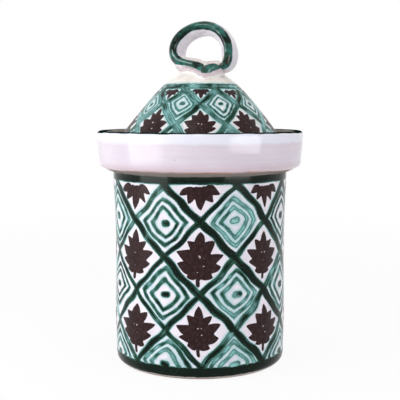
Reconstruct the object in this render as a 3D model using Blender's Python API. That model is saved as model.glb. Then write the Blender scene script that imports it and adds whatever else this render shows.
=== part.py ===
"""Lidded ceramic jar: a turned pot, a wide gallery collar, a conical lid and a strap loop handle.

Metres, +Z up. The origin is the middle of the foot's resting plane. The front is at -Y.
Pieces that a potter lutes together are separate objects with a hair seam between them.
"""

import math

import bmesh
import bpy
from mathutils import Vector

# Turning: facets round the axis, and the distance under which points on the axis are one point
TURN_STEPS = 60
WELD = 0.000001

# Faces that meet at more than this angle keep a crisp edge
CRISP_DEGREES = 35

# Seam between two luted pieces, and between the lid and the ledge it rests on
SEAM_GAP = 0.0003

# Pot body
BODY_HEIGHT = 0.1502
FOOT_RADIUS = 0.0615
FOOT_EDGE_RADIUS = 0.0060
FOOT_RING_WIDTH = 0.0060
FOOT_RECESS = 0.0015
BELLY_RADIUS = 0.0681
WAIST_RADIUS = 0.0675
NECK_RADIUS = 0.0690
BODY_WALL = 0.0060
BODY_FLOOR = 0.0065
BODY_CORNER_RADIUS = 0.0080
BELLY_HEIGHT_SHARE = 0.27
WAIST_HEIGHT_SHARE = 0.65

# Gallery collar: an upright wall on a sloping ledge, luted on the neck and standing out past it
COLLAR_OVERHANG = 0.0126
COLLAR_FLARE = 0.0014
COLLAR_HEIGHT = 0.0336
COLLAR_WALL = 0.0060
COLLAR_CORNER_RADIUS = 0.0040
COLLAR_UNDERSIDE_RISE = 0.0030
COLLAR_FILLET = 0.0020
COLLAR_BULGE_SHARE = 0.25
GALLERY_DEPTH = 0.0232
LEDGE_ROUND = 0.0015

# Lid
LID_CLEARANCE = 0.0030
LID_HEIGHT = 0.0707
LID_WALL = 0.0055
LID_EDGE = 0.0060
# Where the lid's outside meets its round edge, up from outwards
LID_EDGE_MEETS_DEGREES = 40
# The lid's outside from its crown down: shares of its radius and of its height over the seat
LID_OUTLINE_SHARES = [
    (0.000, 1.000),
    (0.124, 0.986),
    (0.220, 0.956),
    (0.303, 0.907),
    (0.409, 0.823),
    (0.536, 0.689),
    (0.672, 0.522),
    (0.799, 0.355),
    (0.909, 0.208),
]

# Locating flange under the lid
FLANGE_CLEARANCE = 0.0020
FLANGE_WALL = 0.0045
FLANGE_DEPTH = 0.0110

# Loop handle: a flat strap of clay bent round, its ends lapped side by side on the lid's crown.
# The half width and the height are those of the strap's middle line.
LOOP_HALF_WIDTH = 0.0229
LOOP_HEIGHT = 0.0335
LOOP_OFFSET = 0.0020
LOOP_YAW_DEGREES = 19
LOOP_LEAN_DEGREES = 10.5
STRAP_WIDTH = 0.0220
STRAP_THICKNESS = 0.0070
# The strap's section: 1 is an oval, and towards 0 it is a square-cornered oblong
STRAP_OVAL_SHARE = 0.714
STRAP_SIDES = 16
STRAP_RINGS_PER_STATION = 3
STRAP_END_RINGS = 3
# Stations from the end lapped behind, over the top, to the end lapped in front. Shares of: the loop's
# half width, its height, the strap's width (how far back the strap's middle lies), width and thickness,
# and last how far the strap's back edge is tipped up
STRAP_STATION_SHARES = [
    (0.160, 0.200, 0.230, 0.48, 0.76, 0.26),
    (0.430, 0.165, 0.200, 0.58, 0.92, 0.26),
    (0.710, 0.105, 0.110, 0.76, 1.00, 0.20),
    (0.920, 0.085, 0.030, 0.94, 1.00, 0.08),
    (1.020, 0.180, 0.000, 1.00, 1.00, 0.00),
    (1.035, 0.320, 0.000, 1.00, 1.00, 0.00),
    (0.975, 0.490, 0.000, 1.00, 0.98, 0.00),
    (0.820, 0.690, 0.000, 1.00, 1.04, 0.00),
    (0.560, 0.870, 0.000, 1.00, 1.14, 0.00),
    (0.230, 0.985, 0.000, 1.00, 1.20, 0.00),
    (-0.110, 1.000, 0.000, 1.00, 1.16, 0.00),
    (-0.449, 0.930, 0.000, 1.00, 1.10, 0.00),
    (-0.725, 0.795, 0.000, 1.00, 1.08, 0.00),
    (-0.915, 0.620, 0.000, 1.00, 1.08, 0.00),
    (-0.990, 0.430, 0.000, 1.00, 1.10, 0.02),
    (-0.940, 0.275, 0.000, 1.00, 1.12, 0.10),
    (-0.780, 0.190, 0.000, 1.00, 1.10, 0.24),
    (-0.540, 0.155, -0.010, 0.98, 1.04, 0.36),
    (-0.290, 0.130, -0.060, 0.88, 0.94, 0.38),
    (-0.070, 0.050, -0.190, 0.68, 0.80, 0.28),
    (0.120, -0.085, -0.350, 0.50, 0.72, 0.08),
    (0.300, -0.100, -0.430, 0.44, 0.72, 0.00),
    (0.500, -0.040, -0.450, 0.44, 0.76, 0.00),
    (0.690, 0.000, -0.450, 0.42, 0.76, 0.00),
]

# Wad of clay squeezed between the strap's bottom run and the crown
WAD_LENGTH = 0.0410
WAD_WIDTH = 0.0230
WAD_RISE = 0.0068
WAD_SINK = 0.0070
WAD_ACROSS_SHARE = -0.09
WAD_BACK_SHARE = 0.02
WAD_SIDES = 28

# Colours are linear; every glaze is glossy
WHITE_GLAZE = (0.76, 0.68, 0.76)
CREAM_GLAZE = (0.86, 0.82, 0.76)
GREEN_GLAZE = (0.03, 0.12, 0.09)
BROWN_GLAZE = (0.16, 0.12, 0.10)
GLAZE_ROUGHNESS = 0.12


def clear_scene():
    for old in list(bpy.data.objects):
        bpy.data.objects.remove(old, do_unlink=True)


def glaze(name, colour):
    """A glossy fired glaze."""
    material = bpy.data.materials.new(name)
    material.use_nodes = True
    shader = material.node_tree.nodes["Principled BSDF"]
    shader.inputs["Base Color"].default_value = (*colour, 1.0)
    shader.inputs["Roughness"].default_value = GLAZE_ROUGHNESS
    shader.inputs["Metallic"].default_value = 0.0
    return material


def arc(centre, radius, start, end, steps):
    """Points on a round stretch of an outline. Angles are in degrees, 0 outwards and 90 up."""
    turns = [math.radians(start + (end - start) * i / steps) for i in range(steps + 1)]
    return [(centre[0] + radius * math.cos(t), centre[1] + radius * math.sin(t)) for t in turns]


def smooth(points, steps):
    """A Catmull-Rom curve through the points, each of any number of coordinates."""
    first = [2 * a - b for a, b in zip(points[0], points[1])]
    last = [2 * a - b for a, b in zip(points[-1], points[-2])]
    padded = [first, *points, last]
    curve = []
    for i in range(1, len(padded) - 2):
        for step in range(steps):
            t = step / steps
            curve.append(tuple(between(*spot, t) for spot in zip(*padded[i - 1 : i + 3])))
    return [*curve, tuple(points[-1])]


def between(before, here, after, beyond, t):
    """The Catmull-Rom value at share t of the way from here to after."""
    slope_in, slope_out = (after - before) / 2, (beyond - here) / 2
    bend = 3 * (after - here) - 2 * slope_in - slope_out
    twist = 2 * (here - after) + slope_in + slope_out
    return here + slope_in * t + bend * t**2 + twist * t**3


def offset(curve, distance):
    """The curve moved to the left of its direction, seen with +Z up and the axis on the left."""
    moved = []
    for i, (r, z) in enumerate(curve):
        before, after = curve[max(i - 1, 0)], curve[min(i + 1, len(curve) - 1)]
        way = Vector((after[0] - before[0], after[1] - before[1])).normalized()
        if r < WELD:
            way = Vector((1.0, 0.0))
        moved.append((max(r - way.y * distance, 0.0), z + way.x * distance))
    return moved


def height_at(curve, radius):
    """The height where a curve that runs outwards reaches this radius."""
    for (r0, z0), (r1, z1) in zip(curve, curve[1:]):
        if r0 <= radius <= r1:
            return z0 + (z1 - z0) * (radius - r0) / (r1 - r0)
    return curve[-1][1]


def finish_mesh(name, mesh, material):
    """Puts a mesh in the scene, round where it is round."""
    mesh.materials.append(material)
    mesh.shade_smooth()
    mesh.set_sharp_from_angle(angle=math.radians(CRISP_DEGREES))
    made = bpy.data.objects.new(name, mesh)
    bpy.context.scene.collection.objects.link(made)
    return made


def turned(name, outline, material, is_ring):
    """Spins an outline of (radius, height) round the axis. A ring's outline closes on itself."""
    form = bmesh.new()
    points = [form.verts.new((r, 0.0, z)) for r, z in outline]
    ends = points[1:] + points[:1] if is_ring else points[1:]
    edges = [form.edges.new(pair) for pair in zip(points, ends)]
    bmesh.ops.spin(
        form,
        geom=points + edges,
        cent=(0.0, 0.0, 0.0),
        axis=(0.0, 0.0, 1.0),
        angle=math.tau,
        steps=TURN_STEPS,
        use_merge=True,
    )
    bmesh.ops.remove_doubles(form, verts=form.verts, dist=WELD)
    bmesh.ops.recalc_face_normals(form, faces=form.faces)
    mesh = bpy.data.meshes.new(name)
    form.to_mesh(mesh)
    form.free()
    return finish_mesh(name, mesh, material)


def as_cutter(obj):
    obj.hide_render = True
    obj.display_type = "WIRE"
    return obj


def cut(obj, cutter):
    """Cuts one object by another. The strap may touch itself where it folds, so that is allowed for."""
    step = obj.modifiers.new("cut by " + cutter.name, "BOOLEAN")
    step.operation = "DIFFERENCE"
    step.solver = "EXACT"
    step.use_self = True
    step.object = cutter


def collar_radius():
    return NECK_RADIUS + COLLAR_OVERHANG


def gallery_floor():
    return BODY_HEIGHT + SEAM_GAP + COLLAR_HEIGHT - GALLERY_DEPTH


def lid_seat():
    return gallery_floor() + SEAM_GAP


def lid_radius():
    return collar_radius() - COLLAR_WALL - LID_CLEARANCE


def lid_crown():
    return lid_seat() + LID_HEIGHT


def flange_radius():
    return NECK_RADIUS - BODY_WALL - FLANGE_CLEARANCE


def body_outline():
    """Foot, outside, neck, inside and floor, from the axis underneath to the axis inside."""
    foot_inside = FOOT_RADIUS - FOOT_RING_WIDTH
    wall = smooth(
        [
            (FOOT_RADIUS + FOOT_EDGE_RADIUS, FOOT_EDGE_RADIUS),
            (BELLY_RADIUS, BODY_HEIGHT * BELLY_HEIGHT_SHARE),
            (WAIST_RADIUS, BODY_HEIGHT * WAIST_HEIGHT_SHARE),
            (NECK_RADIUS, BODY_HEIGHT),
        ],
        4,
    )
    floor_top = FOOT_RECESS + BODY_FLOOR
    corner_top = floor_top + BODY_CORNER_RADIUS
    inside_radius = FOOT_RADIUS + FOOT_EDGE_RADIUS - BODY_WALL
    corner = (inside_radius - BODY_CORNER_RADIUS, corner_top)
    above_corner = [(r - BODY_WALL, z) for r, z in wall if z > corner_top + BODY_CORNER_RADIUS]
    inside = above_corner[::-2]
    return [
        (0.0, FOOT_RECESS),
        (foot_inside - FOOT_RECESS, FOOT_RECESS),
        (foot_inside, 0.0),
        *arc((FOOT_RADIUS, FOOT_EDGE_RADIUS), FOOT_EDGE_RADIUS, -90, 0, 5)[:-1],
        *wall,
        *inside,
        *arc(corner, BODY_CORNER_RADIUS, 0, -90, 4),
        (0.0, floor_top),
    ]


def collar_outline():
    """Seat on the neck, sloping underside, upright wall, round rim, gallery and bore."""
    bore = NECK_RADIUS - BODY_WALL
    seat = BODY_HEIGHT + SEAM_GAP
    rim = seat + COLLAR_HEIGHT
    floor = gallery_floor()
    radius = collar_radius()
    lower_radius = radius - COLLAR_FLARE
    corner = (lower_radius - COLLAR_CORNER_RADIUS, seat + COLLAR_UNDERSIDE_RISE + COLLAR_CORNER_RADIUS)
    run = corner[0] - NECK_RADIUS
    slope = math.degrees(math.atan2(COLLAR_UNDERSIDE_RISE, run))
    half_wall = COLLAR_WALL / 2
    outside = smooth(
        [
            (lower_radius, corner[1]),
            (radius - COLLAR_FLARE * COLLAR_BULGE_SHARE, (corner[1] + rim) / 2),
            (radius, rim - half_wall),
        ],
        2,
    )
    inside_radius = radius - COLLAR_WALL
    return [
        (bore, seat),
        (NECK_RADIUS, seat),
        *arc(corner, COLLAR_CORNER_RADIUS, slope - 90, 0, 4)[:-1],
        *outside[:-1],
        *arc((radius - half_wall, rim - half_wall), half_wall, 0, 180, 6),
        *arc((inside_radius - COLLAR_FILLET, floor + COLLAR_FILLET), COLLAR_FILLET, 0, -90, 3),
        *arc((bore + LEDGE_ROUND, floor - LEDGE_ROUND), LEDGE_ROUND, 90, 180, 3),
    ]


def lid_edge():
    """The lid's round edge, from its outside down to its flat seat."""
    half_edge = LID_EDGE / 2
    return arc((lid_radius() - half_edge, lid_seat() + half_edge), half_edge, LID_EDGE_MEETS_DEGREES, -90, 5)


def lid_outside(steps):
    """The lid's outside from the crown to where its round edge takes over."""
    spots = [(lid_radius() * r, lid_seat() + LID_HEIGHT * z) for r, z in LID_OUTLINE_SHARES]
    return smooth([*spots, lid_edge()[0]], steps)


def lid_underside(gap):
    """The lid's hollow side, or a curve this gap below it."""
    return offset(lid_outside(1), -LID_WALL - gap)


def lid_outline():
    """Outside, round edge, flat seat, and inside back up to the axis."""
    bore = flange_radius() + SEAM_GAP
    inside = lid_underside(0.0)
    roof = [spot for spot in inside if spot[0] < bore - LID_WALL / 2]
    return [
        *lid_outside(2)[:-1],
        *lid_edge(),
        (bore, lid_seat()),
        (bore, height_at(inside, bore)),
        *reversed(roof),
    ]


def flange_outline():
    """A ring inside the lid, its top following the lid's underside and its foot rounded."""
    outer = flange_radius()
    inner = outer - FLANGE_WALL
    foot = lid_seat() - FLANGE_DEPTH
    round_radius = FLANGE_WALL / 2
    underside = lid_underside(SEAM_GAP)
    middle = (outer + inner) / 2
    return [
        *arc((middle, foot + round_radius), round_radius, -180, 0, 6),
        (outer, height_at(underside, outer)),
        (middle, height_at(underside, middle)),
        (inner, height_at(underside, inner)),
    ]


def crown_cutter():
    """The lid's top grown by a seam, to seat the handle on it."""
    grown = offset(lid_outside(2), SEAM_GAP)
    reach = 2 * LOOP_HALF_WIDTH
    top = [spot for spot in grown if spot[0] < reach]
    base = lid_seat()
    outline = [*top, (top[-1][0], base), (0.0, base)]
    return as_cutter(turned("crown_cutter", outline, glaze("cutter", WHITE_GLAZE), False))


def loop_axes():
    """The loop's own directions: across it, along the strap's width to the back, and up."""
    turn, lean = math.radians(LOOP_YAW_DEGREES), math.radians(LOOP_LEAN_DEGREES)
    across = Vector((math.cos(turn), -math.sin(turn), 0.0))
    back = Vector((math.sin(turn) * math.cos(lean), math.cos(turn) * math.cos(lean), -math.sin(lean)))
    return across, back, across.cross(back)


def strap_rings(grow):
    """The strap's section at each step from end to end, grown by a seam for a cutter."""
    across, back, up = loop_axes()
    foot = Vector((LOOP_OFFSET, 0.0, lid_crown()))
    stations = smooth(STRAP_STATION_SHARES, STRAP_RINGS_PER_STATION)
    middles = [
        foot + across * (LOOP_HALF_WIDTH * a) + up * (LOOP_HEIGHT * u) + back * (STRAP_WIDTH * b)
        for a, u, b, _, _, _ in stations
    ]
    rings = []
    last = len(middles) - 1
    for i, (middle, station) in enumerate(zip(middles, stations)):
        way = (middles[min(i + 1, last)] - middles[max(i - 1, 0)]).normalized()
        tipped = back + up * station[5]
        wide = (tipped - way * tipped.dot(way)).normalized()
        thick = way.cross(wide)
        half_width = STRAP_WIDTH * station[3] / 2 + grow
        half_thickness = STRAP_THICKNESS * station[4] / 2 + grow
        rings.append((middle, way, wide * half_width, thick * half_thickness))
    return rings


def section_point(middle, wide, thick, turn):
    """A point of the strap's rounded oblong section."""
    c, s = math.cos(turn), math.sin(turn)
    out = math.copysign(abs(c) ** STRAP_OVAL_SHARE, c)
    rise = math.copysign(abs(s) ** STRAP_OVAL_SHARE, s)
    return middle + wide * out + thick * rise


def rounded_end(ring, outwards):
    """Smaller sections that round off an end of the strap, the last one nearest its tip."""
    middle, way, wide, thick = ring
    reach = thick.length * outwards
    turns = [math.pi / 2 * (i + 1) / (STRAP_END_RINGS + 1) for i in range(STRAP_END_RINGS)]
    return [
        (middle + way * (reach * math.sin(t)), way, wide * math.cos(t), thick * math.cos(t))
        for t in turns
    ]


def strap(name, grow, material):
    """Lofts the strap's sections into one closed solid."""
    body = strap_rings(grow)
    rings = [*reversed(rounded_end(body[0], -1)), *body, *rounded_end(body[-1], 1)]
    form = bmesh.new()
    loops = []
    for middle, _, wide, thick in rings:
        turns = [math.tau * k / STRAP_SIDES for k in range(STRAP_SIDES)]
        loops.append([form.verts.new(section_point(middle, wide, thick, t)) for t in turns])
    for here, there in zip(loops, loops[1:]):
        for k in range(STRAP_SIDES):
            after = (k + 1) % STRAP_SIDES
            form.faces.new((here[k], here[after], there[after], there[k]))
    form.faces.new(list(reversed(loops[0])))
    form.faces.new(loops[-1])
    bmesh.ops.recalc_face_normals(form, faces=form.faces)
    mesh = bpy.data.meshes.new(name)
    form.to_mesh(mesh)
    form.free()
    return finish_mesh(name, mesh, material)


def wad(name, material):
    """A low mound on the crown under the strap's bottom run."""
    across, back, _ = loop_axes()
    form = bmesh.new()
    bmesh.ops.create_uvsphere(form, u_segments=WAD_SIDES, v_segments=WAD_SIDES // 2, radius=1.0)
    size = Vector((WAD_LENGTH / 2, WAD_WIDTH / 2, WAD_RISE + WAD_SINK))
    bmesh.ops.scale(form, vec=size, verts=form.verts)
    mesh = bpy.data.meshes.new(name)
    form.to_mesh(mesh)
    form.free()
    made = finish_mesh(name, mesh, material)
    foot = Vector((LOOP_OFFSET, 0.0, lid_crown() - WAD_SINK))
    aside = across * (LOOP_HALF_WIDTH * WAD_ACROSS_SHARE)
    made.location = foot + aside + back * (STRAP_WIDTH * WAD_BACK_SHARE)
    made.rotation_euler.z = -math.radians(LOOP_YAW_DEGREES)
    return made


def main():
    clear_scene()
    white = glaze("white glaze", WHITE_GLAZE)
    cream = glaze("cream glaze", CREAM_GLAZE)
    green = glaze("green glaze", GREEN_GLAZE)
    brown = glaze("brown glaze", BROWN_GLAZE)
    turned("pot_body", body_outline(), white, False)
    turned("gallery_collar", collar_outline(), white, True)
    turned("lid_dome", lid_outline(), cream, False)
    turned("lid_flange", flange_outline(), brown, True)
    crown = crown_cutter()
    handle = strap("handle_loop", 0.0, green)
    strap_cutter = as_cutter(strap("strap_cutter", SEAM_GAP, green))
    handle_wad = wad("handle_wad", cream)
    cut(handle, crown)
    cut(handle_wad, crown)
    cut(handle_wad, strap_cutter)


main()
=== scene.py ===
"""Looks of the lidded ceramic jar: its glazes, its brushwork, the camera and the studio light.

Metres, +Z up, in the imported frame. The front is at -Y. Brushwork is worked out in millimetres.
"""

import math

import bmesh
import bpy
import numpy as np
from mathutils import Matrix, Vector
from mathutils.kdtree import KDTree

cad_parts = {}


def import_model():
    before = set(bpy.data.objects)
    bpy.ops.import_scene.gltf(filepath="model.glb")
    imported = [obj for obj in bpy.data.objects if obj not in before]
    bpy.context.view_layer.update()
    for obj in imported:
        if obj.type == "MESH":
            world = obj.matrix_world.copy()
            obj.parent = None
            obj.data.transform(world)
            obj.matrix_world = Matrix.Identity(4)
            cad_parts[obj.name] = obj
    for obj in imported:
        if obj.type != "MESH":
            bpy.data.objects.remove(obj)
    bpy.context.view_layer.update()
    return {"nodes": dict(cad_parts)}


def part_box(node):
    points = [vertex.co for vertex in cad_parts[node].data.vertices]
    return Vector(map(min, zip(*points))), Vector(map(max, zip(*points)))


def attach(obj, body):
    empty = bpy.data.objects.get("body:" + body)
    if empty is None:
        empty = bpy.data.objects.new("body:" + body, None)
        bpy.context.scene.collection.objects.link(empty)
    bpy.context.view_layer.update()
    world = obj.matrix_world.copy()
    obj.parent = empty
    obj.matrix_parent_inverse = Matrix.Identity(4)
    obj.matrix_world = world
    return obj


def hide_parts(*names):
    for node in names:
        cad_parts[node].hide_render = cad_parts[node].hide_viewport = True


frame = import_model()

MM = 0.001

# Camera: where the photograph was taken from, in metres and degrees
CAMERA_PLACE = (0.0, -0.6853, 0.2016)
CAMERA_PITCH = 6.122
CAMERA_VIEW = 26.28
SENSOR_WIDTH = 36.0

# A packed turned node is read at +X: how near the plane a point lies, and how its place is rounded
SLICE = 1e-5
SLICE_DIGITS = 6
# An outline bends smoothly through corners below this many degrees
CORNER_DEGREES = 36

# Turned meshes: steps round the axis, and the spacing of points along the outline
TURN_STEPS = 432
FINE = 0.95 * MM
COARSE = 3.0 * MM

# The lid stands a little askew on its ledge: sideways shift for each metre of height
LID_LEAN = 0.012

# Depth of the painted strokes, of the throwing rings and of the hand's unevenness
STROKE_RELIEF = 0.10 * MM
THROWING_RELIEF = 0.02 * MM
HAND_RELIEF = 0.22 * MM

# Body brushwork: lozenges round the jar, half lozenges up it, and the edges of the bands above and below them
BODY_LOZENGES = 8
BODY_ROWS = 5
BAND_TOP = 146.2 * MM
BAND_BOTTOM = 10.5 * MM

# Foot: heights up to which the clay is bare, the glaze is thin and the form is even. Then the height and the
# radius of its bare underside
GLAZE_LINE = 1.6 * MM
PAINT_END = 2.6 * MM
FOOT_EVEN = 2.0 * MM
FOOT_DEPTH = 2.5 * MM
FOOT_INSIDE = 60.0 * MM

# Lid brushwork: lozenges round the lid, half lozenges up it, the band round the cap and the band at the edge
LID_LOZENGES = 9
LID_ROWS = 3
CAP_RADIUS = 28.6 * MM
CAP_BAND = 4.6 * MM
CAP_FADE = 2.0 * MM
EDGE_BAND = 2.5 * MM

# Motifs are drawn for a lozenge this wide, in millimetres. NO_PAINT is far outside every stroke, and what is
# kept on the mesh goes no further outside than DEEP. Brown stops where the green is this deep
LOZENGE = 53.4
NO_PAINT = -99.0
DEEP = 6.0
BROWN_STOP = 0.3
# How many rounds even out the load of paint
LOAD_ROUNDS = 4
SEED = 7

# Rim: its radius, and its dark line's place in degrees outwards from the top. In millimetres, the line's half
# width, how much more that is at the sides and how it wavers. Then how sharp it is, and its load of paint
RIM_RADIUS = 3.0 * MM
RIM_PLACE = 10
RIM_LINE = 1.85
RIM_FULLER = 1.1
RIM_WAVER = 0.35
RIM_SHARPNESS = 2.2
RIM_LOAD = 1.4

# Collar, from its lowest point up: where its white glaze ends and its grey underside, partly bare clay and
# partly painted shade, starts, and up to where its outside has no bare clay
UNDERSIDE = 4.9 * MM
UNDERSIDE_RISE = 6.5 * MM
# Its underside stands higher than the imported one, over a short neck, and that fades out between these heights
UNDERSIDE_LIFT = 2.0 * MM
NECK_HEIGHT = 1.4 * MM
LIFT_START = 8.0 * MM
LIFT_END = 16.0 * MM
# Spacing of the throwing rings and of their beat, and how wide a strip they fade in over
THROWING_STEP = 1.9 * MM
THROWING_BEAT = 3.1 * MM
THROWING_FADE = 2.0 * MM
# Depths below the rim where the blue white starts and is full, and heights where the rose, partly its tint and
# partly painted shade, is full and ends
BLUE_START = 9.6 * MM
BLUE_FULL = 6.6 * MM
ROSE_FULL = 5.0 * MM
ROSE_END = 13.0 * MM

# Glazes: how much each one shines, how rough it is and how deep its fine relief goes. The handle's dark green
# shines less by the value dulled
GLAZE_IOR = 1.5
PAINTED_SHINE = 0.10
PAINTED_ROUGHNESS = 0.16
PAINTED_GRAIN = 0.05 * MM
COLLAR_SHINE = 0.28
COLLAR_ROUGHNESS = 0.07
COLLAR_GRAIN = 0.03 * MM
RING_SHINE = 0.5
RING_ROUGHNESS = 0.18
RING_GRAIN = 0.04 * MM
HANDLE_SHINE = 0.26
HANDLE_DULLED = 0.12
HANDLE_ROUGHNESS = 0.05
HANDLE_GRAIN = 0.02 * MM
# How much of a white is left in its shaded patches, and how far the glazes' edges drift up and down
SHADED_SHARE = 0.93
LINE_DRIFT = 1.6 * MM
EDGE_DRIFT = 2.8 * MM
# Length of a streak along a stroke, and the middle and the edge of a speck as shares of its cell
STREAK_LENGTH = 14.0 * MM
SPECK_CORE_SHARE = 0.02
SPECK_EDGE_SHARE = 0.055
# On the handle, heights over the lid in millimetres between which these end: the roll's painted shade, the
# ledge, the crease's white with its painted highlight
ROLL_EDGE = (4.5, 7.5)
LEDGE_EDGE = (12.0, 16.0)
CREASE_EDGE = (0.7, 1.9)
# The same for the cap's cream, kept on the mesh
CREAM_START = 0.1
CREAM_END = 0.7

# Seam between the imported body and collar, closed here
SEAM = 0.15 * MM

# Handle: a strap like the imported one, but turned a little less and swelling behind its front edge
LOOP_OFFSET = 2.0 * MM
LOOP_YAW = 15
LOOP_LEAN = 10.5
STRAP_WIDTH = 22.0 * MM
STRAP_THICKNESS = 7.0 * MM
# How round the strap's section is in front and at the back: 1 is an ellipse and 0 a sharp box
FRONT_OVAL_SHARE = 0.52
BACK_OVAL_SHARE = 0.75
# How much the strap swells behind its front edge, towards the hole and away from it, and how soon
BELLY_INSIDE = 4.0 * MM
BELLY_OUTSIDE = 1.9 * MM
BELLY_SHARE = 0.55
STRAP_SIDES = 64
STRAP_RINGS = 9
STRAP_END_RINGS = 6
# How small the strap's closed ends get
STRAP_TIP_SHARE = 0.05
# Side of the photograph in pixels, and the size of one pixel at the handle
PHOTO_SIDE = 400
PIXEL = 0.785 * MM
# Stations along the strap, read off the photograph. Two values give where its front edge is seen in the
# photograph, in pixels from the left and from the top. Then come how far back that edge lies and how wide the
# strap is, as shares of its full width, how thick it looks in pixels, how far its back edge tips up and how
# much it swells there. The strand starts behind, goes over the top and comes down in front
STRAND_STATIONS = [
    (206.0, 66.2, -0.30, 0.50, 4.4, 0.14, 0.80),
    (211.0, 66.6, -0.36, 0.52, 4.6, 0.14, 1.00),
    (215.4, 66.7, -0.42, 0.54, 4.6, 0.10, 1.00),
    (219.6, 66.5, -0.47, 0.58, 5.0, 0.04, 0.90),
    (223.2, 65.0, -0.50, 0.66, 7.4, 0.00, 0.75),
    (225.7, 62.2, -0.50, 0.76, 9.2, 0.00, 0.70),
    (227.3, 57.4, -0.50, 0.86, 9.3, 0.00, 0.85),
    (227.8, 51.6, -0.50, 0.96, 9.1, 0.00, 1.00),
    (227.3, 45.2, -0.50, 1.00, 9.1, 0.00, 1.00),
    (225.2, 38.6, -0.50, 1.00, 9.4, 0.00, 0.90),
    (221.1, 32.4, -0.50, 1.00, 9.6, 0.00, 0.75),
    (215.2, 27.6, -0.50, 1.00, 9.8, 0.00, 0.60),
    (208.8, 25.1, -0.50, 1.00, 9.8, 0.00, 0.50),
    (201.6, 24.4, -0.50, 1.00, 9.8, 0.00, 0.50),
    (193.2, 25.6, -0.50, 1.00, 9.8, 0.00, 0.50),
    (185.2, 29.2, -0.50, 1.00, 9.7, 0.00, 0.55),
    (178.4, 34.9, -0.50, 1.00, 9.6, 0.00, 0.70),
    (173.9, 41.9, -0.50, 1.00, 9.4, 0.00, 0.90),
    (171.9, 48.6, -0.50, 1.00, 8.9, 0.00, 1.00),
    (172.6, 54.2, -0.50, 1.00, 8.7, 0.00, 0.80),
    (175.9, 58.6, -0.50, 1.00, 8.4, 0.04, 0.70),
    (180.6, 61.3, -0.51, 0.98, 7.8, 0.08, 0.70),
    (186.0, 63.0, -0.54, 0.94, 7.6, 0.12, 0.75),
    (191.4, 64.3, -0.60, 0.86, 7.8, 0.14, 0.75),
    (196.4, 66.0, -0.70, 0.76, 8.8, 0.12, 0.60),
    (200.3, 68.3, -0.79, 0.64, 9.4, 0.10, 0.40),
    (202.4, 70.4, -0.84, 0.52, 8.4, 0.06, 0.20),
]
# The folded end laps over the strand
TONGUE_STATIONS = [
    (203.6, 71.7, -0.97, 0.34, 7.2, 0.00, 0.20),
    (206.2, 69.1, -0.95, 0.42, 10.6, 0.00, 0.20),
    (210.2, 66.9, -0.87, 0.46, 9.2, 0.00, 0.20),
    (214.4, 66.2, -0.77, 0.46, 7.2, 0.00, 0.20),
    (217.6, 66.4, -0.66, 0.42, 4.2, 0.00, 0.20),
]
# The roll of clay squeezed out under them
ROLL_STATIONS = [
    (176.8, 65.2, -0.34, 0.50, 5.4, 0.00, 0.00),
    (180.6, 68.0, -0.46, 0.55, 7.6, 0.00, 0.00),
    (185.6, 69.4, -0.60, 0.60, 7.8, 0.00, 0.00),
    (190.8, 70.6, -0.72, 0.60, 7.0, 0.00, 0.00),
    (196.2, 73.2, -0.88, 0.62, 6.6, 0.00, 0.00),
    (201.8, 76.2, -1.01, 0.64, 6.8, 0.00, 0.00),
    (207.4, 74.4, -0.93, 0.62, 6.8, 0.00, 0.00),
    (213.0, 72.4, -0.74, 0.60, 6.6, 0.00, 0.00),
    (218.0, 71.0, -0.54, 0.56, 6.0, 0.00, 0.00),
]
# Share of the strand that is hidden behind the lap and has no green edge
LAP_SHARE = 0.095
# The strap's front edge has its crest towards the inner side and falls away to both sides
CREST_PLACE_SHARE = 0.45
CREST_RISE = 0.7 * MM
OUTER_FALL = 2.7 * MM
INNER_FALL = 0.8 * MM
# Green edge, in millimetres: how far it wraps round from the strap's front, and how much further at one place
# outside. What is kept on the mesh goes no further outside it than its depth
EDGE_COVER = 2.2
OUTER_WRAP = 3.2
WRAP_PLACE_SHARE = 0.74
WRAP_SPREAD_SHARE = 0.10
EDGE_DEPTH = 3.0

# Pad of clay under the strap, and the part of the crown that the handle grows out of
PAD_LENGTH = 35.0 * MM
PAD_WIDTH = 23.0 * MM
PAD_RISE = 6.8 * MM
PAD_SINK = 7.0 * MM
PAD_ACROSS = 1.0 * MM
PAD_BACK = 0.4 * MM
PAD_SIDES = 64
PAD_RINGS = 40
PLUG_RADIUS = 27.6 * MM
PLUG_TOP = 0.35 * MM
PLUG_BOTTOM = 3.6 * MM

# Handle skin: voxel size, how many rounds soften it, and how far one round pulls hollows and ridges
VOXEL = 0.5 * MM
SOFTEN_ROUNDS = 12
HOLLOW_PULL_SHARE = 0.62
RIDGE_PULL_SHARE = 0.2
# How many rounds even out the edge of the green on it
EVEN_ROUNDS = 8

# Studio: the floor's reach and roughness, how white it is seen near the jar, between which distances that
# grows to full white, and the strength of the world's light
FLOOR_REACH = 4.0
FLOOR_ROUGHNESS = 0.9
FLOOR_WHITE_SHARE = 0.92
FLOOR_NEAR = 0.25
FLOOR_FAR = 1.1
WORLD_LIGHT = 0.38


def rgb(red, green, blue):
    """A colour written as on screen, 0 to 255, as linear values."""
    shares = [c / 255 for c in (red, green, blue)]
    return tuple(c / 12.92 if c <= 0.04045 else ((c + 0.055) / 1.055) ** 2.4 for c in shares)


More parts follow.
